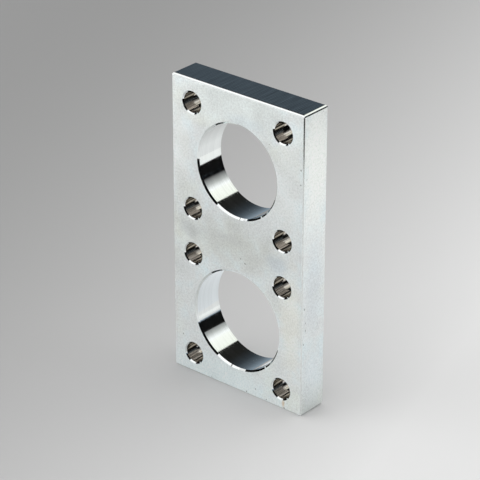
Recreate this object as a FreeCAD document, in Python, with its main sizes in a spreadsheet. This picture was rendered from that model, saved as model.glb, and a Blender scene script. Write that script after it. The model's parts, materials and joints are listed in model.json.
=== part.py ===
"""Twin-bore mounting plate, milled from one bar of aluminium.

The plate stands on its lower short end.  X runs across its width, Y through its thickness, with the
front face towards -Y, and Z up its length.  The origin is the middle of the lower end.  Lengths are
in millimetres.

Two bores pass through the plate one above the other, the lower one a little larger, and each sits in
the middle of a square of four screw holes.  The square is the same for both bores, and the plate is
sized around the screw holes: the margins outside them and the gap between the two squares are the
driving dimensions, and the width, the height and the bores' places follow.
"""
import FreeCAD, Part
import os
import Sketcher
from FreeCAD import Vector

NODE = "bore_plate"

# Driving dimensions, with what each one is.
DRIVING = [
    ("screw_spacing", 46.5, "side of the square of screw holes round each bore"),
    ("square_gap", 20.5, "from the upper row of the lower square to the lower row of the upper one"),
    ("side_margin", 10.5, "from a column of screw holes to the plate's long side"),
    ("foot_margin", 9.25, "from the lowest row of screw holes to the lower end"),
    ("head_margin", 10.25, "from the highest row of screw holes to the upper end"),
    ("plate_thickness", 14.5, "front face to back face"),
    ("upper_bore", 40.0, "diameter of the upper bore"),
    ("lower_bore", 43.5, "diameter of the lower bore"),
    ("screw_hole", 9.0, "diameter of a screw hole"),
    ("end_chamfer", 0.9, "chamfer round both short ends"),
    ("side_chamfer", 0.4, "chamfer down the four long corners"),
    ("bore_chamfer", 0.7, "chamfer at both mouths of a bore"),
    ("screw_chamfer", 0.5, "chamfer at both mouths of a screw hole"),
]

# Sizes that follow from the driving dimensions.
FOLLOWING = [
    ("plate_width", "=screw_spacing + 2 * side_margin", "across both columns of screw holes"),
    ("bore_pitch", "=screw_spacing + square_gap", "lower bore's axis to upper bore's axis"),
    ("plate_height", "=foot_margin + screw_spacing + bore_pitch + head_margin", "lower end to upper end"),
    ("lower_bore_height", "=foot_margin + screw_spacing / 2", "lower end to the lower bore's axis"),
    ("upper_bore_height", "=lower_bore_height + bore_pitch", "lower end to the upper bore's axis"),
]

# How far a measured place may lie from its nominal one when faces and edges are looked up.
NEAR = 1e-4

# A sketch's own origin point and vertical axis, and the two ends and the centre of a piece of geometry.
ORIGIN = -1
VERTICAL = -2
START, END, CENTRE = 1, 2, 3


def make_sheet(doc):
    """A spreadsheet with one row for each size: its name, its value under that alias, and what it is."""
    sheet = doc.addObject("Spreadsheet::Sheet", "Sizes")
    for row, (alias, value, meaning) in enumerate(DRIVING + FOLLOWING, start=1):
        sheet.set(f"A{row}", alias)
        sheet.set(f"B{row}", str(value))
        sheet.setAlias(f"B{row}", alias)
        sheet.set(f"C{row}", meaning)
    doc.recompute()
    return sheet


def origin_feature(body, role):
    """One of the body's own origin planes or axes, by its role."""
    return next(item for item in body.Origin.OriginFeatures if item.Role == role)


def new_sketch(body, name):
    """An empty sketch on the body's XZ plane: its own X runs along X, its own Y along Z."""
    sketch = body.newObject("Sketcher::SketchObject", name)
    sketch.AttachmentSupport = [(origin_feature(body, "XZ_Plane"), "")]
    sketch.MapMode = "FlatFace"
    return sketch


def dimension(sketch, name, expression, kind, *geometry):
    """A named dimension of a sketch, driven by the spreadsheet."""
    start_value = 10.0
    index = sketch.addConstraint(Sketcher.Constraint(kind, *geometry, start_value))
    sketch.renameConstraint(index, name)
    sketch.setExpression(f"Constraints.{name}", expression)


def require_change(feature, volume_before, grows):
    """Stop where a feature has added or removed nothing."""
    change = feature.Shape.Volume - volume_before
    if (change <= 0) if grows else (change >= 0):
        raise RuntimeError(f"{feature.Name} changed nothing")


def add_blank(body):
    """The bar: a rectangle standing on the X axis, padded to both sides of the XZ plane."""
    sketch = new_sketch(body, "BlankOutline")
    width, height = 60.0, 120.0
    corners = [Vector(-width / 2, 0, 0), Vector(width / 2, 0, 0),
               Vector(width / 2, height, 0), Vector(-width / 2, height, 0)]
    for index, corner in enumerate(corners):
        following = corners[(index + 1) % len(corners)]
        sketch.addGeometry(Part.LineSegment(corner, following), False)
    foot, right, head, left = range(len(corners))
    for side, following in ((foot, right), (right, head), (head, left), (left, foot)):
        sketch.addConstraint(Sketcher.Constraint("Coincident", side, END, following, START))
    for side in (foot, head):
        sketch.addConstraint(Sketcher.Constraint("Horizontal", side))
    for side in (right, left):
        sketch.addConstraint(Sketcher.Constraint("Vertical", side))
    sketch.addConstraint(Sketcher.Constraint("Symmetric", foot, START, foot, END, ORIGIN, START))
    dimension(sketch, "width", "Sizes.plate_width", "DistanceX", foot, START, foot, END)
    dimension(sketch, "height", "Sizes.plate_height", "DistanceY", right, START, right, END)
    blank = body.newObject("PartDesign::Pad", "Blank")
    blank.Profile = sketch
    blank.SideType = "Symmetric"
    blank.setExpression("Length", "Sizes.plate_thickness")
    body.Document.recompute()
    require_change(blank, 0.0, grows=True)


def add_chamfer(body, name, size, wanted):
    """A 45 degree chamfer on every edge of the body's tip that the function wanted picks."""
    tip = body.Tip
    edges = [f"Edge{number}" for number, edge in enumerate(tip.Shape.Edges, start=1) if wanted(edge)]
    if not edges:
        raise RuntimeError(f"{name} found no edge")
    volume_before = tip.Shape.Volume
    chamfer = body.newObject("PartDesign::Chamfer", name)
    chamfer.Base = (tip, edges)
    chamfer.setExpression("Size", size)
    body.Document.recompute()
    require_change(chamfer, volume_before, grows=False)


def on_an_end(edge, height):
    """True for an edge that lies flat in the lower or the upper end face."""
    heights = [vertex.Point.z for vertex in edge.Vertexes]
    return any(all(abs(z - end) < NEAR for z in heights) for end in (0.0, height))


def along_z(edge):
    """True for a straight edge that runs up the plate."""
    low, high = edge.Vertexes[0].Point, edge.Vertexes[-1].Point
    return abs(low.x - high.x) < NEAR and abs(low.y - high.y) < NEAR and abs(low.z - high.z) > NEAR


def is_mouth(edge, radii):
    """True for a full circle round the Y axis with one of the given radii."""
    curve = edge.Curve
    if not isinstance(curve, Part.Circle):
        return False
    faces_y = abs(abs(curve.Axis.y) - 1) < NEAR
    return faces_y and any(abs(curve.Radius - radius) < NEAR for radius in radii)


def add_bore(body, name, diameter, axis_height):
    """A round bore straight through the plate, on its middle line."""
    sketch = new_sketch(body, f"{name}Outline")
    sketch.addGeometry(Part.Circle(Vector(0, 30, 0), Vector(0, 0, 1), 15), False)
    sketch.addConstraint(Sketcher.Constraint("PointOnObject", 0, CENTRE, VERTICAL))
    dimension(sketch, "axis_height", axis_height, "DistanceY", ORIGIN, START, 0, CENTRE)
    dimension(sketch, "diameter", diameter, "Diameter", 0)
    volume_before = body.Tip.Shape.Volume
    bore = body.newObject("PartDesign::Pocket", name)
    bore.Profile = sketch
    bore.Type = "ThroughAll"
    bore.SideType = "Symmetric"
    body.Document.recompute()
    require_change(bore, volume_before, grows=False)


def add_screw_holes(body):
    """Four drilled holes in a square round the lower bore, repeated round the upper one."""
    doc = body.Document
    sketch = new_sketch(body, "ScrewSquare")
    low_left, low_right, high_left, high_right = range(4)
    for height in (10, 50):
        for across in (-20, 20):
            sketch.addGeometry(Part.Circle(Vector(across, height, 0), Vector(0, 0, 1), 4), False)
    for left, right in ((low_left, low_right), (high_left, high_right)):
        sketch.addConstraint(Sketcher.Constraint("Symmetric", left, CENTRE, right, CENTRE, VERTICAL))
    sketch.addConstraint(Sketcher.Constraint("Vertical", low_left, CENTRE, high_left, CENTRE))
    for other in (low_right, high_left, high_right):
        sketch.addConstraint(Sketcher.Constraint("Equal", low_left, other))
    dimension(sketch, "columns", "Sizes.screw_spacing", "DistanceX", low_left, CENTRE, low_right, CENTRE)
    dimension(sketch, "rows", "Sizes.screw_spacing", "DistanceY", low_left, CENTRE, high_left, CENTRE)
    dimension(sketch, "foot", "Sizes.foot_margin", "DistanceY", ORIGIN, START, low_left, CENTRE)
    dimension(sketch, "diameter", "Sizes.screw_hole", "Diameter", low_left)
    sketch.AttachmentOffset = FreeCAD.Placement(Vector(0, 0, 1), FreeCAD.Rotation())
    sketch.setExpression("AttachmentOffset.Base.z", "Sizes.plate_thickness / 2")
    doc.recompute()

    volume_before = body.Tip.Shape.Volume
    holes = body.newObject("PartDesign::Hole", "LowerScrewHoles")
    holes.Profile = sketch
    doc.recompute()
    holes.ThreadType = "None"
    holes.HoleCutType = "None"
    holes.DepthType = "ThroughAll"
    holes.DrillPoint = "Flat"
    holes.setExpression("Diameter", "Sizes.screw_hole")
    doc.recompute()
    require_change(holes, volume_before, grows=False)

    volume_before = holes.Shape.Volume
    repeat = body.newObject("PartDesign::LinearPattern", "UpperScrewHoles")
    repeat.Originals = [holes]
    repeat.Direction = (origin_feature(body, "Z_Axis"), [""])
    repeat.Mode = "Spacing"
    repeat.Occurrences = 2
    repeat.setExpression("Offset", "Sizes.bore_pitch")
    body.Tip = repeat
    doc.recompute()
    require_change(repeat, volume_before, grows=False)


def make_plate(doc, sheet):
    """The whole plate: the bar, its edge chamfers, the bores, the screw holes and their mouths."""
    body = doc.addObject("PartDesign::Body", "BorePlate")
    body.Label = NODE
    body.Placement = FreeCAD.Placement()
    add_blank(body)
    add_chamfer(body, "EndChamfers", "Sizes.end_chamfer", lambda edge: on_an_end(edge, sheet.plate_height))
    add_chamfer(body, "SideChamfers", "Sizes.side_chamfer", along_z)
    add_bore(body, "LowerBore", "Sizes.lower_bore", "Sizes.lower_bore_height")
    add_bore(body, "UpperBore", "Sizes.upper_bore", "Sizes.upper_bore_height")
    add_screw_holes(body)
    bore_radii = (sheet.lower_bore / 2, sheet.upper_bore / 2)
    add_chamfer(body, "BoreMouths", "Sizes.bore_chamfer", lambda edge: is_mouth(edge, bore_radii))
    screw_radii = (sheet.screw_hole / 2,)
    add_chamfer(body, "ScrewMouths", "Sizes.screw_chamfer", lambda edge: is_mouth(edge, screw_radii))
    return body


def check(doc, body):
    """Stop before anything is written where an object failed or the plate isn't one sound solid."""
    for item in doc.Objects:
        if "Invalid" in item.State or "Error" in item.State:
            raise RuntimeError(f"{item.Name} failed: {item.State}")
    shape = body.Shape
    if shape.isNull() or not shape.isValid():
        raise RuntimeError(f"{body.Label} has no valid shape")
    if len(shape.Solids) != 1:
        raise RuntimeError(f"{body.Label} is {len(shape.Solids)} solids and has to be one")


def main():
    doc = FreeCAD.newDocument("bore_plate_model")
    sheet = make_sheet(doc)
    plate = make_plate(doc, sheet)
    doc.recompute()
    check(doc, plate)
    os.makedirs("parts", exist_ok=True)
    plate.Shape.exportStep(f"parts/{plate.Label}.step")
    box = plate.Shape.BoundBox
    print(f"{plate.Label}: {box.XLength:.2f} x {box.YLength:.2f} x {box.ZLength:.2f} mm,"
          f" {plate.Shape.Volume / 1000:.2f} cm3, {len(plate.Shape.Faces)} faces")


main()
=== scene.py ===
"""Twin-bore mounting plate in bright machined aluminium, standing on its lower end.

The plate is modelled as one piece: a chamfered blank, two turned bores and eight
drilled screw holes with chamfered mouths. Its sizes come from the loaded frame, but
for the chamfers of the ends, the long edges and the screw holes, which are given here.
"""

import json
import math

import bmesh
import bpy
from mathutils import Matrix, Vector


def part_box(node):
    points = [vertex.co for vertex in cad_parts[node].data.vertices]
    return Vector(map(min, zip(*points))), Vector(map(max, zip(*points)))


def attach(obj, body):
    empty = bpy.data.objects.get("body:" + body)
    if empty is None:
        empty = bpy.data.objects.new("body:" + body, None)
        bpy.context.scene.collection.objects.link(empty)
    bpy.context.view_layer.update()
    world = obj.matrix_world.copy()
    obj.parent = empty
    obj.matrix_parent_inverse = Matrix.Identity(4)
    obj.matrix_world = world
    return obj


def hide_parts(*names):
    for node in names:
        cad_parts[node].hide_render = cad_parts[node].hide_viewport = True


bl_info = {
    "name": "Twin-Bore Mounting Plate",
    "version": (1, 0, 0),
    "blender": (4, 5, 0),
    "location": "3D View > Sidebar > Bore Plate",
    "description": "Models a machined aluminium plate with two bores, and sets its studio",
    "category": "Add Mesh",
}

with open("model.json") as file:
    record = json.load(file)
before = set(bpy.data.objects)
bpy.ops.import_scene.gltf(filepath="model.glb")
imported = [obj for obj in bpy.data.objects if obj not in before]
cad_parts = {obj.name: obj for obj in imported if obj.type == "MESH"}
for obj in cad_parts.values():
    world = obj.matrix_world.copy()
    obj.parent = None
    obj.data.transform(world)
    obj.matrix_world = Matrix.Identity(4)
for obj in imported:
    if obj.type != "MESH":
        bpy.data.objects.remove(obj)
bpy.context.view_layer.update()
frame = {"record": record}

NODE = "bore_plate"
MM = 0.001

LOW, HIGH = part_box(NODE)
MOUNTS = {mount["name"]: mount for mount in frame["record"]["mounts"]}
LOWER_BORE = MOUNTS["lower_bore"]
UPPER_BORE = MOUNTS["upper_bore"]
SCREWS = MOUNTS["lower_screws"]

# How far each cutter stands out of the plate at either end.
CUTTER_OVERRUN = 0.5 * MM
BORE_SEGMENTS = 256
SCREW_SEGMENTS = 96
SMOOTH_ANGLE = math.radians(30)

# The end chamfers are a little round. A profile of 0.25 would make them flat, and one
# of 0.5 a quarter circle.
END_CHAMFER_STRIPS = 4
END_CHAMFER_PROFILE = 0.33

# Heights that differ by less than this are the same height.
SAME_HEIGHT = 0.01 * MM

# How closely a normal lies along an axis: on a flat, on a cutter's end, and from least
# to most on a chamfer.
ON_A_FLAT = 0.999
ON_A_CUTTER_END = 0.99
SLANT_LEAST = 0.1
SLANT_MOST = 0.9

# The front face's place through the plate, and the right side's across it, in mm.
FRONT = LOW[1] / MM
RIGHT = HIGH[0] / MM


# ---------------------------------------------------------------- sizes and colours


def length(label, note, value):
    """A length property with its default in metres."""
    return bpy.props.FloatProperty(
        name=label, description=note, default=value, min=0.0,
        subtype="DISTANCE", unit="LENGTH", precision=5,
    )


def colour(label, note, value):
    """A colour property with its default in linear red, green and blue."""
    return bpy.props.FloatVectorProperty(
        name=label, description=note, default=value, size=3, min=0.0, max=1.0,
        subtype="COLOR",
    )


def share(label, note, value, highest=1.0):
    """A plain number property from nothing up to the highest value."""
    return bpy.props.FloatProperty(
        name=label, description=note, default=value, min=0.0, max=highest,
        subtype="FACTOR",
    )


class PlateSizes(bpy.types.PropertyGroup):
    """Sizes of the plate, its bores and its screw holes."""

    width: length("Width", "Across the plate", HIGH[0] - LOW[0])
    thickness: length("Thickness", "Front face to back face", HIGH[1] - LOW[1])
    height: length("Height", "Lower end to upper end", HIGH[2] - LOW[2])
    lower_bore: length(
        "Lower Bore", "Diameter of the lower bore", 2 * LOWER_BORE["dims"]["r_mm"] * MM
    )
    upper_bore: length(
        "Upper Bore", "Diameter of the upper bore", 2 * UPPER_BORE["dims"]["r_mm"] * MM
    )
    lower_bore_height: length(
        "Lower Bore Height", "Lower end to the lower bore's axis", LOWER_BORE["pos_m"][2]
    )
    upper_bore_height: length(
        "Upper Bore Height", "Lower end to the upper bore's axis", UPPER_BORE["pos_m"][2]
    )
    screw_hole: length(
        "Screw Hole", "Diameter of a screw hole", 2 * SCREWS["dims"]["hole_r_mm"] * MM
    )
    screw_spacing: length(
        "Screw Spacing", "Side of the screw square", SCREWS["dims"]["spacing_x_mm"] * MM
    )
    bore_chamfer: length(
        "Bore Chamfer",
        "Depth of the chamfer at a bore's mouth",
        (HIGH[1] - LOW[1] - LOWER_BORE["dims"]["length_mm"] * MM) / 2,
    )
    screw_chamfer: length(
        "Screw Hole Chamfer", "Depth of the chamfer at a screw hole's mouth", 0.5 * MM
    )
    end_chamfer: length("End Chamfer", "Chamfer round the upper and lower ends", 0.9 * MM)
    side_chamfer: length("Side Chamfer", "Chamfer down the four long edges", 0.4 * MM)


class PlateFinish(bpy.types.PropertyGroup):
    """Colours and gloss of the plate's surfaces."""

    aluminium: colour("Aluminium", "Bright cut aluminium", (0.89, 0.925, 0.92))
    cool_cloud: colour(
        "Cool Cloud", "Bluish clouds on the flat faces", (0.79, 0.885, 0.905)
    )
    warm_cloud: colour(
        "Warm Cloud", "Straw clouds on the flat faces", (0.89, 0.925, 0.865)
    )
    # The milled colour is darker and bluer than the aluminium, partly as painted shade of
    # the ends.
    milled: colour("Milled Ends", "Bare aluminium of the milled ends", (0.74, 0.83, 0.87))
    # The drilled colour is darker than the aluminium, partly as painted shade of the
    # holes.
    drilled: colour("Drilled Metal", "Metal drawn by the drill", (0.53, 0.50, 0.46))
    grime: colour("Grime", "Dirt in nicks and scratches", (0.16, 0.16, 0.15))
    drip: colour("Drip", "Dried drip of cutting fluid", (0.76, 0.60, 0.42))
    face_roughness: share("Face Roughness", "Roughness of the flat faces", 0.40)
    side_roughness: share("Side Roughness", "Roughness of the long sides", 0.30)
    edge_roughness: share("Edge Roughness", "Roughness of the eased long edges", 0.13)
    end_roughness: share("End Roughness", "Roughness of the milled ends", 0.18)
    bore_roughness: share("Bore Roughness", "Roughness of the turned bores", 0.07)
    chamfer_roughness: share("Chamfer Roughness", "Roughness of the chamfers", 0.05)
    screw_roughness: share("Screw Hole Roughness", "Roughness of the drilled holes", 0.09)


class StudioSettings(bpy.types.PropertyGroup):
    """Floor, surroundings, lamps and camera of the studio."""

    floor_dark: colour("Floor Shade", "Floor at the dim side", (0.335, 0.335, 0.335))
    floor_pale: colour("Floor Light", "Floor at the bright side", (0.84, 0.84, 0.84))
    horizon: colour("Horizon", "Surroundings level with the plate", (0.25, 0.31, 0.37))
    overhead: colour("Overhead", "Surroundings above the plate", (0.013, 0.013, 0.012))
    fill: share("Fill Light", "Even light that softens the shadows", 0.85, 10.0)
    key: share("Key Light", "Brightness of the softbox behind", 1.10, 10.0)
    front: share("Front Light", "Brightness of the softbox in front", 1.15, 10.0)
    top: share("Top Light", "Brightness of the softbox overhead", 1.7, 10.0)
    side: share("Side Light", "Brightness of the low softbox at the left", 8.8, 10.0)
    camera_distance: length("Camera Distance", "Camera to the aimed point", 939.6 * MM)
    camera_azimuth: bpy.props.FloatProperty(
        name="Camera Azimuth", description="Turn of the camera to the plate's right",
        default=math.radians(40.08), subtype="ANGLE", unit="ROTATION",
    )
    camera_elevation: bpy.props.FloatProperty(
        name="Camera Elevation", description="Height of the camera above level",
        default=math.radians(26.742), subtype="ANGLE", unit="ROTATION",
    )
    camera_lens: bpy.props.FloatProperty(
        name="Camera Lens", description="Focal length in millimetres",
        default=176.47, min=1.0, subtype="DISTANCE_CAMERA",
    )


# ---------------------------------------------------------------- selecting by place


def choose(kind, wanted):
    """Leaves only the faces or edges that are wanted selected on the edited piece."""
    bpy.ops.mesh.select_mode(type=kind)
    bpy.ops.mesh.select_all(action="DESELECT")
    mesh = bpy.context.edit_object.data
    shape = bmesh.from_edit_mesh(mesh)
    parts = shape.faces if kind == "FACE" else shape.edges
    found = [part for part in parts if wanted(part)]
    if not found:
        raise RuntimeError("nothing found to select on " + mesh.name)
    for part in found:
        part.select_set(True)
    bmesh.update_edit_mesh(mesh)


def faces_along(direction):
    """A test for faces that look in the given direction."""
    way = Vector(direction)
    return lambda face: face.normal.dot(way) > ON_A_CUTTER_END


def start_alone():
    """Goes to object mode with nothing selected."""
    if bpy.context.object and bpy.context.object.mode != "OBJECT":
        bpy.ops.object.mode_set(mode="OBJECT")
    bpy.ops.object.select_all(action="DESELECT")


def pick(*pieces):
    """Selects these pieces alone; the last one is active."""
    start_alone()
    for piece in pieces:
        piece.select_set(True)
    bpy.context.view_layer.objects.active = pieces[-1]


def settle(piece):
    """Leaves the piece's place and size in its mesh, with its object at the origin."""
    pick(piece)
    bpy.ops.object.transform_apply(location=True, rotation=True, scale=True)


# ---------------------------------------------------------------- the plate's shape


def cut_blank(sizes):
    """The blank: a block with chamfered ends and long edges."""
    start_alone()
    bpy.ops.mesh.primitive_cube_add(
        size=1.0,
        location=(0, 0, sizes.height / 2),
        scale=(sizes.width, sizes.thickness, sizes.height),
    )
    blank = bpy.context.object
    blank.name = "twin_bore_plate"
    settle(blank)
    bpy.ops.object.mode_set(mode="EDIT")
    half = sizes.height / 2

    def rise(edge):
        return abs(edge.verts[0].co.z - edge.verts[1].co.z)

    def runs_round_an_end(edge):
        at_an_end = all(abs(v.co.z - half) > half - SAME_HEIGHT for v in edge.verts)
        return at_an_end and rise(edge) < SAME_HEIGHT

    choose("EDGE", runs_round_an_end)
    bpy.ops.mesh.bevel(
        offset=sizes.end_chamfer, offset_type="OFFSET",
        segments=END_CHAMFER_STRIPS, profile=END_CHAMFER_PROFILE,
    )

    def runs_up_a_corner(edge):
        return rise(edge) > half

    choose("EDGE", runs_up_a_corner)
    bpy.ops.mesh.bevel(offset=sizes.side_chamfer, offset_type="OFFSET", segments=1)

    def bounds_a_flat(edge):
        flats = [max(map(abs, face.normal)) > ON_A_FLAT for face in edge.link_faces]
        return any(flats) and not all(flats)

    choose("EDGE", bounds_a_flat)
    bpy.ops.mesh.mark_sharp()
    bpy.ops.object.mode_set(mode="OBJECT")
    return blank


def add_cutter(name, place, radius, chamfer, sizes, segments):
    """A cutter shaped as the hole that it leaves: a straight land with flared mouths."""
    start_alone()
    land = sizes.thickness - 2 * chamfer
    bpy.ops.mesh.primitive_cylinder_add(
        vertices=segments, radius=radius, depth=land, end_fill_type="NGON",
        location=place, rotation=(math.pi / 2, 0, 0),
    )
    cutter = bpy.context.object
    cutter.name = name
    settle(cutter)
    bpy.ops.object.mode_set(mode="EDIT")
    flare = chamfer + CUTTER_OVERRUN
    spread = (radius + flare) / radius
    for side in (-1, 1):
        choose("FACE", faces_along((0, side, 0)))
        bpy.ops.mesh.extrude_region_move(
            TRANSFORM_OT_translate={"value": (0, side * flare, 0)}
        )
        bpy.ops.transform.resize(value=(spread, 1, spread), center_override=place)
    bpy.ops.object.mode_set(mode="OBJECT")
    return cutter


def copy_piece(piece, name, shift):
    """A copy with its own mesh, moved by the given shift."""
    pick(piece)
    bpy.ops.object.duplicate(linked=False)
    copied = bpy.context.object
    copied.name = name
    copied.location = Vector(shift)
    settle(copied)
    return copied


def screw_places(sizes):
    """Where the eight screw holes stand: a square of four round each bore."""
    half = sizes.screw_spacing / 2
    return [
        (across, 0, height + rise)
        for height in (sizes.lower_bore_height, sizes.upper_bore_height)
        for rise in (-half, half)
        for across in (-half, half)
    ]


def cut_holes(blank, sizes):
    """Takes the two bores and the eight screw holes out of the blank."""
    cutters = [
        add_cutter(
            "bore_cutter", (0, 0, height), across / 2, sizes.bore_chamfer, sizes,
            BORE_SEGMENTS,
        )
        for height, across in (
            (sizes.lower_bore_height, sizes.lower_bore),
            (sizes.upper_bore_height, sizes.upper_bore),
        )
    ]
    places = screw_places(sizes)
    first = add_cutter(
        "screw_cutter", places[0], sizes.screw_hole / 2, sizes.screw_chamfer, sizes,
        SCREW_SEGMENTS,
    )
    cutters.append(first)
    for place in places[1:]:
        shift = Vector(place) - Vector(places[0])
        cutters.append(copy_piece(first, "screw_cutter", shift))
    pick(*cutters)
    bpy.ops.object.join()
    cutter = bpy.context.object
    cutter.name = "hole_cutters"

    pick(blank)
    cut = blank.modifiers.new("Holes", "BOOLEAN")
    cut.operation = "DIFFERENCE"
    cut.solver = "EXACT"
    cut.object = cutter
    bpy.ops.object.modifier_apply(modifier=cut.name)
    pick(cutter)
    bpy.ops.object.delete()


# ---------------------------------------------------------------- which face is which


def nearest_hole(face, sizes):
    """(distance past the wall, kind) of the hole whose wall is nearest the face."""
    centre = face.calc_center_median()
    holes = [
        ("bore", 0, sizes.lower_bore_height, sizes.lower_bore / 2),
        ("bore", 0, sizes.upper_bore_height, sizes.upper_bore / 2),
    ]
    holes += [("screw", p[0], p[2], sizes.screw_hole / 2) for p in screw_places(sizes)]
    found = [
        (math.hypot(centre.x - x, centre.z - z) - radius, kind)
        for kind, x, z, radius in holes
    ]
    return min(found)


def surface_of(face, sizes):
    """Names the surface that a face belongs to, by its place and normal."""
    past_wall, kind = nearest_hole(face, sizes)
    across, through, up = (abs(value) for value in face.normal)
    if past_wall < sizes.bore_chamfer and through < SLANT_MOST:
        return "chamfer" if through > SLANT_LEAST else kind
    for surface, along in (("end", up), ("side", across), ("face", through)):
        if along > ON_A_FLAT:
            return surface
    return "chamfer" if up > SLANT_LEAST else "edge"


def dress(plate, sizes, materials):
    """Gives each surface of the plate its own material."""
    names = list(materials)
    plate.data.materials.clear()
    for name in names:
        plate.data.materials.append(materials[name])
    pick(plate)
    bpy.ops.object.mode_set(mode="EDIT")
    for index, name in enumerate(names):
        choose("FACE", lambda face: surface_of(face, sizes) == name)
        plate.active_material_index = index
        bpy.ops.object.material_slot_assign()
    bpy.ops.object.mode_set(mode="OBJECT")


# ---------------------------------------------------------------- node helpers


def feed(tree, socket, value):
    """Links another socket to this one, or sets its number, vector or colour."""
    if isinstance(value, bpy.types.NodeSocket):
        tree.links.new(value, socket)
    elif socket.type == "RGBA":
        socket.default_value = (*value, 1.0)
    else:
        socket.default_value = value


def add_node(tree, kind, inputs, **settings):
    """Adds a node, sets its properties, and links or sets its inputs."""
    node = tree.nodes.new(kind)
    for name, value in settings.items():
        setattr(node, name, value)
    for socket, value in inputs.items():
        feed(tree, node.inputs[socket], value)
    return node


def reckon(tree, operation, first, second=0.0, third=0.0, clamp=False):
    """The result of one Math node."""
    node = add_node(
        tree, "ShaderNodeMath", {0: first, 1: second, 2: third},
        operation=operation, use_clamp=clamp,
    )
    return node.outputs[0]


def reckon_vector(tree, operation, *values):
    """One Vector Math node on the given vectors."""
    return add_node(
        tree, "ShaderNodeVectorMath", dict(enumerate(values)), operation=operation
    )


def blend_colours(tree, factor, first, second, mode="MIX"):
    """The result of one colour Mix node."""
    node = add_node(
        tree, "ShaderNodeMix", {0: factor, 6: first, 7: second},
        data_type="RGBA", blend_type=mode,
    )
    return node.outputs[2]


def ramp(tree, value, stops):
    """A Color Ramp with the given (position, colour) stops."""
    node = add_node(tree, "ShaderNodeValToRGB", {"Fac": value})
    elements = node.color_ramp.elements
    while len(elements) < len(stops):
        elements.new(1.0)
    for element, (position, shade) in zip(elements, stops):
        element.position = position
        element.color = (*shade, 1.0)
    return node.outputs["Color"]


def start_group(name, inputs, outputs):
    """A node group with named sockets: (tree, sockets it is given, sockets it fills)."""
    group = bpy.data.node_groups.new(name, "ShaderNodeTree")
    for label, (kind, value) in inputs.items():
        socket = group.interface.new_socket(label, in_out="INPUT", socket_type=kind)
        if value is not None:
            socket.default_value = value
    for label, kind in outputs.items():
        group.interface.new_socket(label, in_out="OUTPUT", socket_type=kind)
    inlet = group.nodes.new("NodeGroupInput")
    outlet = group.nodes.new("NodeGroupOutput")
    return group, inlet.outputs, outlet.inputs


FLOAT = "NodeSocketFloat"
VECTOR = "NodeSocketVector"
COLOUR = "NodeSocketColor"

# The warm patches' noise has this share of the cool clouds' fineness.
PATCH_SCALE = 0.45
# Gain and offset that turn each noise into a mask: cool clouds start where the noise
# passes 0.45, warm patches where it passes 0.53.
COOL_GAIN, COOL_OFFSET = 3.0, -1.35
WARM_GAIN, WARM_OFFSET = 3.6, -1.9

# Tool lines: how fast they change along their length, per metre, how fine their
# unevenness is across them, per line, and how far it pushes them, in radians.
LINE_CHANGE = 60.0
LINE_FINENESS = 0.9
LINE_SWAY = 6.0

# How ragged the edges of marks and zones are, and where a zone starts to show and
# where it is full, all as shares of the reach.
MARK_RAGGED = 0.8
ZONE_RAGGED = 0.9
ZONE_STARTS = 1.15
ZONE_FULL = 0.25


def make_cloud_group():
    """Soft uneven clouds, as handling and rinsing leave on bare aluminium."""
    tree, given, result = start_group(
        "Metal Clouds",
        {
            "Vector": (VECTOR, None),
            "Cloud Size": (FLOAT, 0.012),
            "Cool Colour": (COLOUR, (0.8, 0.87, 0.9, 1.0)),
            "Warm Colour": (COLOUR, (0.9, 0.89, 0.83, 1.0)),
            "Base Colour": (COLOUR, (0.9, 0.91, 0.91, 1.0)),
        },
        {"Color": COLOUR, "Tone": FLOAT},
    )
    wide = reckon(tree, "DIVIDE", 1.0, given["Cloud Size"])
    clouds = add_node(
        tree, "ShaderNodeTexNoise",
        {"Vector": given["Vector"], "Scale": wide, "Detail": 4.0, "Roughness": 0.6},
    )
    patches = add_node(
        tree, "ShaderNodeTexNoise",
        {
            "Vector": given["Vector"],
            "Scale": reckon(tree, "MULTIPLY", wide, PATCH_SCALE),
            "Detail": 3.0,
            "Roughness": 0.5,
            "Distortion": 0.4,
        },
    )
    cool = reckon(
        tree, "MULTIPLY_ADD", clouds.outputs["Fac"], COOL_GAIN, COOL_OFFSET, clamp=True
    )
    warm = reckon(
        tree, "MULTIPLY_ADD", patches.outputs["Fac"], WARM_GAIN, WARM_OFFSET, clamp=True
    )
    cooled = blend_colours(tree, cool, given["Base Colour"], given["Cool Colour"])
    warmed = blend_colours(tree, warm, cooled, given["Warm Colour"])
    tree.links.new(warmed, result["Color"])
    tree.links.new(clouds.outputs["Fac"], result["Tone"])
    return tree


def make_grain_group():
    """Fine even grain of a cut metal surface."""
    tree, given, result = start_group(
        "Fine Grain",
        {"Vector": (VECTOR, None), "Grain Size": (FLOAT, 0.0006)},
        {"Tone": FLOAT},
    )
    grain = add_node(
        tree, "ShaderNodeTexNoise",
        {
            "Vector": given["Vector"],
            "Scale": reckon(tree, "DIVIDE", 1.0, given["Grain Size"]),
            "Detail": 2.0,
            "Roughness": 0.7,
        },
    )
    tree.links.new(grain.outputs["Fac"], result["Tone"])
    return tree


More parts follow.
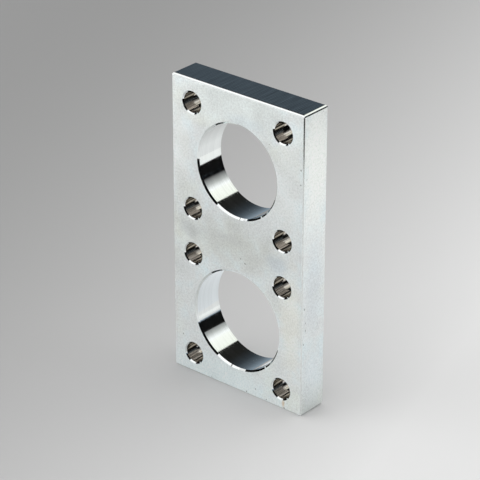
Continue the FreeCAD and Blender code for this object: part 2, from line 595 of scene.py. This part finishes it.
def make_line_group():
    """Parallel lines left by a cutting tool, laid across the vector's X axis."""
    tree, given, result = start_group(
        "Tool Lines",
        {
            "Vector": (VECTOR, None),
            "Spacing": (FLOAT, 0.0012),
            "Unevenness": (FLOAT, 0.5),
        },
        {"Height": FLOAT, "Tone": FLOAT},
    )
    parts = add_node(tree, "ShaderNodeSeparateXYZ", {"Vector": given["Vector"]})
    across = reckon(tree, "DIVIDE", parts.outputs["X"], given["Spacing"])
    along = reckon(tree, "MULTIPLY", parts.outputs["Y"], LINE_CHANGE)
    drift = add_node(
        tree, "ShaderNodeCombineXYZ", {"X": across, "Y": along, "Z": parts.outputs["Z"]}
    )
    uneven = add_node(
        tree, "ShaderNodeTexNoise",
        {
            "Vector": drift.outputs[0],
            "Scale": LINE_FINENESS,
            "Detail": 3.0,
            "Roughness": 0.65,
        },
    )
    turn = reckon(tree, "MULTIPLY", across, 2 * math.pi)
    shift = reckon(tree, "MULTIPLY", uneven.outputs["Fac"], given["Unevenness"])
    swayed = reckon(tree, "ADD", turn, reckon(tree, "MULTIPLY", shift, LINE_SWAY))
    wave = reckon(tree, "SINE", swayed)
    height = reckon(tree, "MULTIPLY_ADD", wave, 0.5, 0.5)
    tree.links.new(height, result["Height"])
    tree.links.new(uneven.outputs["Fac"], result["Tone"])
    return tree


def ragged_distance(tree, given, raggedness, noise):
    """How far a point lies from the place, as a share of the reach, with a ragged edge."""
    ragged = add_node(tree, "ShaderNodeTexNoise", {"Vector": given["Vector"], **noise})
    away = reckon_vector(tree, "SUBTRACT", given["Vector"], given["Place"])
    scaled = reckon_vector(tree, "DIVIDE", away.outputs[0], given["Reach"])
    far = reckon_vector(tree, "LENGTH", scaled.outputs[0])
    return reckon(
        tree, "MULTIPLY_ADD", ragged.outputs["Fac"], raggedness,
        reckon(tree, "SUBTRACT", far.outputs["Value"], raggedness / 2),
    )


def make_mark_group():
    """One small nick or stain: a soft-edged patch at a place on the piece."""
    tree, given, result = start_group(
        "Small Mark",
        {
            "Vector": (VECTOR, None),
            "Place": (VECTOR, (0.0, 0.0, 0.0)),
            "Reach": (VECTOR, (0.001, 0.001, 0.001)),
            "Softness": (FLOAT, 0.5),
        },
        {"Mask": FLOAT},
    )
    edge = ragged_distance(tree, given, MARK_RAGGED, {"Scale": 1400.0, "Detail": 2.0})
    inside = reckon(tree, "SUBTRACT", 1.0, edge)
    mask = reckon(tree, "DIVIDE", inside, given["Softness"], clamp=True)
    tree.links.new(mask, result["Mask"])
    return tree


def make_zone_group():
    """One broad soft zone: strongest at its place and gone a little past its reach."""
    tree, given, result = start_group(
        "Soft Zone",
        {
            "Vector": (VECTOR, None),
            "Place": (VECTOR, (0.0, 0.0, 0.0)),
            "Reach": (VECTOR, (0.01, 0.01, 0.01)),
        },
        {"Mask": FLOAT},
    )
    edge = ragged_distance(
        tree, given, ZONE_RAGGED, {"Scale": 110.0, "Detail": 4.0, "Roughness": 0.65}
    )
    fade = add_node(
        tree, "ShaderNodeMapRange",
        {"Value": edge, "From Min": ZONE_STARTS, "From Max": ZONE_FULL},
        interpolation_type="SMOOTHSTEP",
    )
    tree.links.new(fade.outputs[0], result["Mask"])
    return tree


def place_group(tree, group, inputs):
    """Puts a node group into a material with its own values."""
    return add_node(tree, "ShaderNodeGroup", inputs, node_tree=group)


def start_material(name):
    """A new material: (material, tree, shader, the piece's own coordinates)."""
    material = bpy.data.materials.new(name)
    material.use_nodes = True
    tree = material.node_tree
    shader = tree.nodes["Principled BSDF"]
    place = tree.nodes.new("ShaderNodeTexCoord").outputs["Object"]
    return material, tree, shader, place


def start_metal(name):
    """A new bare metal, with what start_material gives."""
    parts = start_material(name)
    parts[2].inputs["Metallic"].default_value = 1.0
    return parts


def make_dull(shader):
    """Takes all gloss from a shader."""
    shader.inputs["Roughness"].default_value = 1.0
    shader.inputs["Specular IOR Level"].default_value = 0.0


def lay_bump(tree, shader, height, depth):
    """Raises a surface by the height value, which stands for the given depth at 1."""
    node = add_node(tree, "ShaderNodeBump", {"Height": height, "Distance": depth})
    tree.links.new(node.outputs["Normal"], shader.inputs["Normal"])


def shade_by(tree, shade, *tones, lift):
    """A colour times a light value: the lift, and each (tone, swing) added to it."""
    light = lift
    for tone, swing in tones:
        light = reckon(tree, "MULTIPLY_ADD", tone, swing, light)
    return blend_colours(tree, 1.0, shade, light, "MULTIPLY")


def vary_gloss(tree, shader, tone, roughness, swing):
    """Roughness that swings evenly about its value with a tone from 0 to 1."""
    varied = reckon(tree, "MULTIPLY_ADD", tone, swing, roughness - swing / 2)
    tree.links.new(varied, shader.inputs["Roughness"])


# ---------------------------------------------------------------- the plate's finishes

# Nicks with dirt in them: place on the plate (across, through, up) and reach, in mm.
FACE_NICKS = (
    ((16.5, FRONT, 116.2), (0.30, 0.5, 0.35)),
    ((32.4, FRONT, 109.8), (0.45, 0.5, 0.50)),
    ((32.3, FRONT, 103.4), (0.45, 0.5, 0.45)),
    ((-29.2, FRONT, 16.4), (0.30, 0.5, 0.45)),
    ((5.2, FRONT, 1.4), (0.45, 0.5, 0.40)),
    ((25.2, FRONT, 1.1), (0.60, 0.5, 0.35)),
    ((10.0, FRONT, 4.3), (0.25, 0.5, 0.70)),
    ((4.4, FRONT, 60.1), (0.80, 0.5, 0.35)),
    ((2.0, FRONT, 61.6), (0.35, 0.5, 0.30)),
    ((-13.5, FRONT, 1.3), (0.40, 0.5, 0.25)),
    ((15.8, FRONT, 1.6), (0.30, 0.5, 0.35)),
)
SIDE_NICKS = (
    ((RIGHT, -5.8, 48.9), (0.5, 0.30, 0.70)),
    ((RIGHT, -5.0, 42.5), (0.5, 0.25, 0.50)),
    ((RIGHT, -4.9, 39.0), (0.5, 0.30, 0.80)),
    ((RIGHT, -6.1, 33.1), (0.5, 0.25, 0.60)),
    ((RIGHT, -5.3, 105.6), (0.5, 0.25, 0.35)),
)
CHAMFER_NICKS = (
    ((-3.0, -7.0, 10.6), (0.45, 0.8, 0.8)),
    ((1.4, -7.0, 79.3), (0.30, 0.8, 0.6)),
)

# Broad hazy zones of the front face: place and reach in mm, colour, strength. The zones at
# the foot, the top and the upper right are painted light and painted shade; the others are
# tints of the metal.
FACE_TINTS_AND_PAINTED_LIGHT = (
    ((-2.0, FRONT, 66.0), (30.0, 4.0, 13.0), (0.72, 0.745, 0.70), 0.60),
    ((21.0, FRONT, 65.0), (7.0, 4.0, 5.0), (0.71, 0.79, 0.84), 0.50),
    ((28.0, FRONT, 42.0), (7.0, 4.0, 28.0), (0.97, 0.98, 0.90), 0.65),
    # Painted light: a pale zone that brightens the foot of the face.
    ((-12.0, FRONT, 4.0), (30.0, 4.0, 11.0), (0.90, 0.99, 1.0), 0.85),
    # Painted shade: a darker zone that dims the top of the face.
    ((0.0, FRONT, 128.0), (32.0, 4.0, 14.0), (0.83, 0.88, 0.86), 0.80),
    ((4.0, FRONT, 121.5), (11.0, 4.0, 4.0), (0.80, 0.88, 0.91), 0.50),
    # Painted light: a pale zone that brightens the upper right of the face.
    ((25.0, FRONT, 98.0), (11.0, 4.0, 28.0), (0.95, 0.99, 0.97), 0.60),
    ((-24.0, FRONT, 66.5), (9.0, 4.0, 4.0), (0.68, 0.73, 0.74), 0.22),
    ((-4.0, FRONT, 69.0), (9.0, 4.0, 2.5), (0.68, 0.70, 0.69), 0.40),
    ((-30.0, FRONT, 100.0), (7.0, 4.0, 26.0), (0.95, 0.98, 0.95), 0.60),
)
# Broad soft zones of the right side: place and reach in mm, colour, strength; the upper
# one is painted light.
SIDE_TINTS_AND_PAINTED_LIGHT = (
    ((RIGHT, 0.0, 58.0), (4.0, 7.0, 26.0), (0.77, 0.83, 0.87), 0.62),
    # Painted light: a pale zone that brightens the top of the side.
    ((RIGHT, 1.0, 112.0), (4.0, 9.0, 30.0), (0.96, 1.0, 0.975), 0.90),
    ((RIGHT, 0.0, 12.0), (4.0, 8.0, 16.0), (0.90, 0.97, 0.99), 0.70),
)

# The dried drip at the foot of the front: place and reach in mm.
DRIPS = (((24.6, FRONT, 3.1), (0.95, 0.5, 2.2)),)

# How deep each finish's relief goes.
SATIN_DEPTH = 0.05 * MM
MILLED_DEPTH = 0.006 * MM
TURNED_DEPTH = 0.0006 * MM
DRILLED_DEPTH = 0.003 * MM
# The satin grain's relief, as a share of a nick's depth.
GRAIN_RELIEF = 0.1
# How fast the drilled holes' scores and painted streaks change along the hole, against
# round it.
SCORE_RATE = 0.04


def spot_inputs(place, spot, reach):
    """What a mark or zone is given: its vector, and its place and reach in metres."""
    return {"Vector": place, "Place": Vector(spot) * MM, "Reach": Vector(reach) * MM}


def add_marks(tree, place, group, marks, softness):
    """The strongest of several small marks at each point."""
    strongest = 0.0
    for spot, reach in marks:
        mark = place_group(
            tree, group, {**spot_inputs(place, spot, reach), "Softness": softness}
        )
        strongest = reckon(tree, "MAXIMUM", mark.outputs["Mask"], strongest)
    return strongest


def add_tints_and_painted_light(tree, place, group, zones, colour_before):
    """Lays broad soft zones of colour over a surface's colour: tints, painted light and
    painted shade.
    """
    colour_now = colour_before
    for spot, reach, shade, strength in zones:
        zone = place_group(tree, group, spot_inputs(place, spot, reach))
        amount = reckon(tree, "MULTIPLY", zone.outputs["Mask"], strength)
        colour_now = blend_colours(tree, amount, colour_now, shade)
    return colour_now


def lay_stain(tree, mask, before, stain, strength):
    """A colour with a stain over it where the mask is."""
    return blend_colours(tree, reckon(tree, "MULTIPLY", mask, strength), before, stain)


def lay_clouds(tree, place, finish, groups, size, warm, base):
    """The clouds' node, with cool clouds over the base colour and warm ones over both."""
    return place_group(
        tree, groups["clouds"],
        {
            "Vector": place,
            "Cloud Size": size,
            "Cool Colour": finish.cool_cloud,
            "Warm Colour": warm,
            "Base Colour": base,
        },
    )


def lay_grain(tree, place, groups, size):
    """The tone of fine grain of the given size."""
    grain = place_group(tree, groups["grain"], {"Vector": place, "Grain Size": size})
    return grain.outputs["Tone"]


def lay_rings(tree, place, groups, spacing):
    """Tool lines turned to run round a hole as rings."""
    turned = add_node(
        tree, "ShaderNodeMapping", {"Vector": place, "Rotation": (0.0, 0.0, math.pi / 2)}
    )
    return place_group(
        tree, groups["lines"],
        {"Vector": turned.outputs[0], "Spacing": spacing, "Unevenness": 1.0},
    )


def lay_satin(tree, shader, place, finish, groups, roughness, zones, nicks):
    """Clouds, tints, zones of painted light and shade, specks and dirty nicks over a satin
    surface: its colour.
    """
    clouds = lay_clouds(
        tree, place, finish, groups,
        size=9.0 * MM, warm=finish.warm_cloud, base=finish.aluminium,
    )
    # Tints, and zones of painted light and painted shade, over the clouds.
    tinted_and_painted_light = add_tints_and_painted_light(tree, place, groups["zone"], zones, clouds.outputs["Color"])
    grain = lay_grain(tree, place, groups, size=0.8 * MM)
    cloudy = clouds.outputs["Tone"]
    specked = shade_by(tree, tinted_and_painted_light, (cloudy, 0.24), (grain, 0.56), lift=0.60)
    dirty = add_marks(tree, place, groups["mark"], nicks, softness=0.7)
    vary_gloss(tree, shader, cloudy, roughness, swing=0.16)
    fine = reckon(tree, "MULTIPLY", grain, GRAIN_RELIEF)
    lay_bump(tree, shader, reckon(tree, "SUBTRACT", fine, dirty), SATIN_DEPTH)
    return lay_stain(tree, dirty, specked, finish.grime, strength=0.8)


def make_face_material(finish, groups):
    """Satin front and back, clouded and finely specked; tints, painted light and painted
    shade in front, with nicks and a drip.
    """
    material, tree, shader, place = start_metal("satin_faces")
    metal = lay_satin(
        tree, shader, place, finish, groups, finish.face_roughness, FACE_TINTS_AND_PAINTED_LIGHT, FACE_NICKS
    )
    drip = add_marks(tree, place, groups["mark"], DRIPS, softness=0.8)
    stained = lay_stain(tree, drip, metal, finish.drip, strength=0.85)
    tree.links.new(stained, shader.inputs["Base Color"])
    return material


def make_side_material(finish, groups):
    """Long sides: smoother than the faces, clouded, with painted light at the top of the
    right one and a few nicks on it.
    """
    material, tree, shader, place = start_metal("sawn_sides")
    metal = lay_satin(
        tree, shader, place, finish, groups, finish.side_roughness, SIDE_TINTS_AND_PAINTED_LIGHT, SIDE_NICKS
    )
    tree.links.new(metal, shader.inputs["Base Color"])
    return material


def make_end_material(finish, groups):
    """Milled ends: fine cutter lines across the thickness, a little cloud, and a colour
    kept darker and bluer than bare aluminium, partly as painted shade of the ends.
    """
    material, tree, shader, place = start_metal("milled_ends")
    lines = place_group(
        tree, groups["lines"], {"Vector": place, "Spacing": 0.9 * MM, "Unevenness": 0.9}
    )
    clouds = lay_clouds(
        tree, place, finish, groups,
        size=8.0 * MM, warm=finish.milled, base=finish.milled,
    )
    ribs, streaks = lines.outputs["Height"], lines.outputs["Tone"]
    clouded = clouds.outputs["Color"]
    # The lift of 0.30, with the milled colour, is partly painted shade that darkens the
    # ends.
    ribbed = shade_by(tree, clouded, (ribs, 0.22), (streaks, 0.60), lift=0.30)
    tree.links.new(ribbed, shader.inputs["Base Color"])
    vary_gloss(tree, shader, streaks, finish.end_roughness, swing=0.16)
    lay_bump(tree, shader, ribs, MILLED_DEPTH)
    return material


def make_bore_material(finish, groups):
    """Turned bores: near mirror, with faint rings from the boring tool."""
    material, tree, shader, place = start_metal("turned_bores")
    rings = lay_rings(tree, place, groups, spacing=0.7 * MM)
    tone = rings.outputs["Tone"]
    ringed = shade_by(tree, finish.aluminium, (tone, 0.36), lift=0.82)
    tree.links.new(ringed, shader.inputs["Base Color"])
    vary_gloss(tree, shader, tone, finish.bore_roughness, swing=0.28)
    lay_bump(tree, shader, rings.outputs["Height"], TURNED_DEPTH)
    return material


def make_screw_material(finish, groups):
    """Drilled holes: duller, warmer metal, its colour also kept dark as painted shade and
    reflection of the holes; scored lengthwise with painted highlight streaks and dark
    streaks, and ringed by the drill.
    """
    material, tree, shader, place = start_metal("drilled_holes")
    rings = lay_rings(tree, place, groups, spacing=0.9 * MM)
    # Slowed down through the plate, so that the grain is drawn out into scores and painted
    # streaks.
    drawn = add_node(
        tree, "ShaderNodeMapping", {"Vector": place, "Scale": (1.0, SCORE_RATE, 1.0)}
    )
    score_and_streak_tone = lay_grain(tree, drawn.outputs[0], groups, size=0.6 * MM)
    # The wide swing and the negative lift paint pale highlight streaks and dark streaks
    # into the colour.
    scores_and_painted_streaks = shade_by(tree, finish.drilled, (score_and_streak_tone, 2.4), lift=-0.22)
    tree.links.new(scores_and_painted_streaks, shader.inputs["Base Color"])
    vary_gloss(tree, shader, score_and_streak_tone, finish.screw_roughness, swing=0.12)
    lay_bump(tree, shader, rings.outputs["Height"], DRILLED_DEPTH)
    return material


def make_edge_material(finish, groups):
    """Long edges: lightly eased, with their colour painted darker than the chamfers' as
    painted shade for the darkish line along them.
    """
    material, tree, shader, place = start_metal("eased_edges")
    grain = lay_grain(tree, place, groups, size=1.5 * MM)
    # The lift of 0.72 is painted shade that darkens the edges.
    toned = shade_by(tree, finish.aluminium, (grain, 0.30), lift=0.72)
    tree.links.new(toned, shader.inputs["Base Color"])
    vary_gloss(tree, shader, grain, finish.edge_roughness, swing=0.10)
    return material


def make_chamfer_material(finish, groups):
    """Chamfers: bright and sharply cut, with a trace of grain and two dirty nicks."""
    material, tree, shader, place = start_metal("bright_chamfers")
    grain = lay_grain(tree, place, groups, size=1.2 * MM)
    toned = shade_by(tree, finish.aluminium, (grain, 0.16), lift=0.92)
    dirty = add_marks(tree, place, groups["mark"], CHAMFER_NICKS, softness=0.5)
    nicked = lay_stain(tree, dirty, toned, finish.grime, strength=0.9)
    tree.links.new(nicked, shader.inputs["Base Color"])
    vary_gloss(tree, shader, grain, finish.chamfer_roughness, swing=0.06)
    return material


# ---------------------------------------------------------------- the studio

FLOOR_SIZE = 12.0

WHITE = (1.0, 1.0, 1.0)
EVENLY_LIT = ((0.0, WHITE), (1.0, WHITE))
DIM = (0.1, 0.1, 0.1)

# Softboxes by the name of their strength: the way to each from the plate's middle, how
# far off it stands, its width and height, and its brightness from the lower edge (0) to
# the upper one (1).
SOFTBOXES = {
    "key": (
        (0.464, 0.705, 0.536), 2.0, 1.06, 2.0,
        (
            (0.16, (0.0, 0.0, 0.0)),
            (0.22, (0.15, 0.15, 0.15)),
            (0.37, (0.44, 0.45, 0.44)),
            (0.50, (0.97, 0.98, 0.97)),
            (0.56, (0.95, 0.96, 0.90)),
            (0.90, (0.85, 0.87, 0.78)),
            (1.0, (0.10, 0.10, 0.09)),
        ),
    ),
    "front": ((-0.42, -0.553, 0.743), 1.2, 1.40, 0.50, EVENLY_LIT),
    "top": ((0.20, 0.24, 0.95), 1.4, 0.7, 0.7, EVENLY_LIT),
    "side": (
        (-0.66, -0.70, 0.28), 1.1, 0.9, 0.86,
        ((0.30, WHITE), (0.42, DIM), (1.0, DIM)),
    ),
}

# Dark flags, seen in reflections alone: the turn of each from straight behind the plate
# toward its right, in degrees, its distance, width, lower edge and height.
FLAGS = (
    ("back_flag", 43.0, 0.295, 0.11, 0.033, 0.102),
    ("corner_flag", 54.5, 0.129, 0.04, 0.125, 0.071),
    ("right_flag", 138.0, 0.160, 0.26, 0.027, 0.263),
    ("left_flag", 267.0, 0.500, 0.50, 0.0, 0.35),
)
FLAG_BLACK = (0.004, 0.004, 0.004)

# Pale cards just above the floor, seen in reflections alone: place, width, depth, colour.
BOUNCES = (
    ("low_bounce", (0.000, 0.046), 0.120, 0.056, (0.81, 0.83, 0.86)),
    ("far_bounce", (0.215, 0.205), 0.190, 0.190, (0.98, 0.98, 0.97)),
)
BOUNCE_LIFT = 0.5 * MM

# The share of the horizon's colour left at each steepness of view, from level (0) to
# straight up (1), and the steepness from which the overhead colour takes over.
SKY_FADE = ((0.0, 1.0), (0.32, 0.40), (0.56, 0.13))
OVERHEAD_FROM = 0.72

# What the camera aims at, to the right of and above the middle of the front face.
AIM_RIGHT = 1.697 * MM
AIM_UP = 3.524 * MM
# The camera's sensor in millimetres, and the nearest thing that it sees in metres.
SENSOR_WIDTH = 36.0
NEAREST_SEEN = 0.01


def add_card(name, centre, toward, wide, tall):
    """A flat card of the given size that faces a point."""
    start_alone()
    way = Vector(toward) - Vector(centre)
    bpy.ops.mesh.primitive_plane_add(
        size=1.0, location=centre, rotation=way.to_track_quat("Z", "Y").to_euler()
    )
    card = bpy.context.object
    card.name = name
    card.scale = (wide, tall, 1.0)
    return card


def hide_from_all_but_gloss(card):
    """Leaves the card to reflections alone."""
    card.visible_camera = False
    card.visible_diffuse = False
    card.visible_transmission = False
    card.visible_shadow = False


def make_glow(name, stops, strength):
    """A softbox's lit cloth: brightness by place up the card."""
    material = bpy.data.materials.new(name)
    material.use_nodes = True
    tree = material.node_tree
    tree.nodes.clear()
    place = tree.nodes.new("ShaderNodeTexCoord").outputs["Object"]
    parts = add_node(tree, "ShaderNodeSeparateXYZ", {"Vector": place})
    shade = ramp(tree, reckon(tree, "ADD", parts.outputs["Y"], 0.5), stops)
    glow = add_node(tree, "ShaderNodeEmission", {"Color": shade, "Strength": strength})
    output = tree.nodes.new("ShaderNodeOutputMaterial")
    tree.links.new(glow.outputs[0], output.inputs["Surface"])
    return material


def make_matt(name, shade):
    """Matt card or cloth of one colour."""
    material = bpy.data.materials.new(name)
    material.use_nodes = True
    shader = material.node_tree.nodes["Principled BSDF"]
    shader.inputs["Base Color"].default_value = (*shade, 1.0)
    make_dull(shader)
    return material


def add_softbox(name, studio, middle):
    """One softbox, lit and aimed at the plate's middle; the camera doesn't see it."""
    way, away, wide, tall, stops = SOFTBOXES[name]
    place = middle + Vector(way).normalized() * away
    softbox = add_card(name + "_softbox", place, middle, wide, tall)
    softbox.data.materials.append(
        make_glow(name + "_cloth", stops, getattr(studio, name))
    )
    softbox.visible_camera = False
    return softbox


def add_flag(cloth, name, turn, away, wide, bottom, tall):
    """One dark flag, upright and facing the plate's axis."""
    heading = math.radians(turn)
    centre = Vector(
        (math.sin(heading) * away, math.cos(heading) * away, bottom + tall / 2)
    )
    flag = add_card(name, centre, (0, 0, centre.z), wide, tall)
    flag.data.materials.append(cloth)
    hide_from_all_but_gloss(flag)
    return flag


def add_bounce(name, place, wide, deep, shade):
    """One pale card that lies just above the floor."""
    spot = Vector((*place, BOUNCE_LIFT))
    bounce = add_card(name, spot, spot + Vector((0, 0, 1)), wide, deep)
    bounce.data.materials.append(make_matt(name + "_card", shade))
    hide_from_all_but_gloss(bounce)
    return bounce


# The floor brightens along this direction, over this run, in metres.
FLOOR_WAY = Vector((0.963, 0.27, 0.0))
FLOOR_FROM = -0.285
FLOOR_TO = 0.07


def make_floor_material(studio):
    """Pale matt floor that brightens evenly from one side to the other."""
    material, tree, shader, place = start_material("studio_floor")
    along = reckon_vector(tree, "DOT_PRODUCT", place, FLOOR_WAY.normalized())
    spread = add_node(
        tree, "ShaderNodeMapRange",
        {
            "Value": along.outputs["Value"],
            "From Min": FLOOR_FROM,
            "From Max": FLOOR_TO,
        },
    )
    # Squared, because the eye sees an even change of tone as a squared one of light.
    eased = reckon(tree, "POWER", spread.outputs[0], 2.0)
    shade = blend_colours(tree, eased, studio.floor_dark, studio.floor_pale)
    tree.links.new(shade, shader.inputs["Base Color"])
    make_dull(shader)
    return material


def set_surroundings(studio):
    """Surroundings that are blue-grey level with the plate and dark overhead.

    The camera, mirroring metal and clear materials see them; matt surfaces are lit by
    an even white fill instead.
    """
    world = bpy.data.worlds.new("studio_surroundings")
    bpy.context.scene.world = world
    world.use_nodes = True
    tree = world.node_tree
    tree.nodes.clear()
    way = tree.nodes.new("ShaderNodeTexCoord").outputs["Generated"]
    parts = add_node(tree, "ShaderNodeSeparateXYZ", {"Vector": way})
    fade = [(rise, Vector(studio.horizon) * left) for rise, left in SKY_FADE]
    seen = ramp(tree, parts.outputs["Z"], [*fade, (OVERHEAD_FROM, studio.overhead)])
    rays = tree.nodes.new("ShaderNodeLightPath").outputs
    looks = reckon(
        tree, "MAXIMUM", rays["Is Camera Ray"],
        reckon(tree, "MAXIMUM", rays["Is Glossy Ray"], rays["Is Transmission Ray"]),
    )
    backdrop = add_node(tree, "ShaderNodeBackground", {"Color": seen, "Strength": 1.0})
    fill = add_node(
        tree, "ShaderNodeBackground",
        {"Color": WHITE, "Strength": studio.fill},
    )
    either = add_node(
        tree, "ShaderNodeMixShader", {0: looks, 1: fill.outputs[0], 2: backdrop.outputs[0]}
    )
    output = tree.nodes.new("ShaderNodeOutputWorld")
    tree.links.new(either.outputs[0], output.inputs["Surface"])


def set_camera(studio, sizes):
    """The camera, above the plate and to its right."""
    aim = Vector((AIM_RIGHT, -sizes.thickness / 2, sizes.height / 2 + AIM_UP))
    turn, rise = studio.camera_azimuth, studio.camera_elevation
    way = Vector(
        (
            math.sin(turn) * math.cos(rise),
            -math.cos(turn) * math.cos(rise),
            math.sin(rise),
        )
    )
    start_alone()
    bpy.ops.object.camera_add(
        location=aim + way * studio.camera_distance,
        rotation=way.to_track_quat("Z", "Y").to_euler(),
    )
    camera = bpy.context.object
    camera.name = "studio_camera"
    camera.data.lens = studio.camera_lens
    camera.data.sensor_width = SENSOR_WIDTH
    camera.data.clip_start = NEAREST_SEEN
    camera.data.dof.use_dof = False
    bpy.context.scene.camera = camera


# ---------------------------------------------------------------- operators

GROUP_MAKERS = {
    "clouds": make_cloud_group,
    "grain": make_grain_group,
    "lines": make_line_group,
    "mark": make_mark_group,
    "zone": make_zone_group,
}
MATERIAL_MAKERS = {
    "face": make_face_material,
    "side": make_side_material,
    "end": make_end_material,
    "bore": make_bore_material,
    "screw": make_screw_material,
    "chamfer": make_chamfer_material,
    "edge": make_edge_material,
}


class PLATE_OT_make_plate(bpy.types.Operator):
    """Model the plate with its bores and screw holes, and finish its surfaces"""

    bl_idname = "bore_plate.make_plate"
    bl_label = "Make Plate"
    bl_options = {"REGISTER", "UNDO"}

    def execute(self, context):
        sizes = context.scene.plate_sizes
        finish = context.scene.plate_finish
        plate = cut_blank(sizes)
        cut_holes(plate, sizes)
        groups = {name: make() for name, make in GROUP_MAKERS.items()}
        materials = {name: make(finish, groups) for name, make in MATERIAL_MAKERS.items()}
        dress(plate, sizes, materials)
        pick(plate)
        bpy.ops.object.shade_smooth_by_angle(angle=SMOOTH_ANGLE, keep_sharp_edges=True)
        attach(plate, "root")
        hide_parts(NODE)
        return {"FINISHED"}


class PLATE_OT_set_studio(bpy.types.Operator):
    """Set the floor, surroundings, softboxes, flags and camera round the plate"""

    bl_idname = "bore_plate.set_studio"
    bl_label = "Set Studio"
    bl_options = {"REGISTER", "UNDO"}

    def execute(self, context):
        studio = context.scene.studio_settings
        sizes = context.scene.plate_sizes
        middle = Vector((0, 0, sizes.height / 2))

        start_alone()
        bpy.ops.mesh.primitive_plane_add(size=FLOOR_SIZE, location=(0, 0, 0))
        floor = bpy.context.object
        floor.name = "studio_floor"
        floor.data.materials.append(make_floor_material(studio))

        key, front, top, side = [add_softbox(name, studio, middle) for name in SOFTBOXES]
        black = make_matt("flag_cloth", FLAG_BLACK)
        flags = [add_flag(black, *flag) for flag in FLAGS]
        flags += [add_bounce(*bounce) for bounce in BOUNCES]

        set_surroundings(studio)
        set_camera(studio, sizes)
        context.scene.view_settings.view_transform = "Standard"
        return {"FINISHED"}


class PLATE_PT_panel(bpy.types.Panel):
    """Sizes, colours and steps of the twin-bore plate"""

    bl_label = "Twin-Bore Plate"
    bl_idname = "PLATE_PT_panel"
    bl_space_type = "VIEW_3D"
    bl_region_type = "UI"
    bl_category = "Bore Plate"

    def draw(self, context):
        layout = self.layout
        for title, holder in (
            ("Sizes", context.scene.plate_sizes),
            ("Finish", context.scene.plate_finish),
            ("Studio", context.scene.studio_settings),
        ):
            box = layout.box()
            box.label(text=title)
            for name in holder.__annotations__:
                box.prop(holder, name)
        layout.operator(PLATE_OT_make_plate.bl_idname)
        layout.operator(PLATE_OT_set_studio.bl_idname)


CLASSES = (
    PlateSizes,
    PlateFinish,
    StudioSettings,
    PLATE_OT_make_plate,
    PLATE_OT_set_studio,
    PLATE_PT_panel,
)


def register():
    """Makes the settings, operators and panel known to Blender."""
    for part in CLASSES:
        bpy.utils.register_class(part)
    bpy.types.Scene.plate_sizes = bpy.props.PointerProperty(type=PlateSizes)
    bpy.types.Scene.plate_finish = bpy.props.PointerProperty(type=PlateFinish)
    bpy.types.Scene.studio_settings = bpy.props.PointerProperty(type=StudioSettings)


def unregister():
    """Takes the settings, operators and panel away again."""
    del bpy.types.Scene.plate_sizes
    del bpy.types.Scene.plate_finish
    del bpy.types.Scene.studio_settings
    for part in reversed(CLASSES):
        bpy.utils.unregister_class(part)


def main():
    """Makes the plate and its studio."""
    register()
    bpy.ops.bore_plate.make_plate()
    bpy.ops.bore_plate.set_studio()


if __name__ == "__main__":
    main()
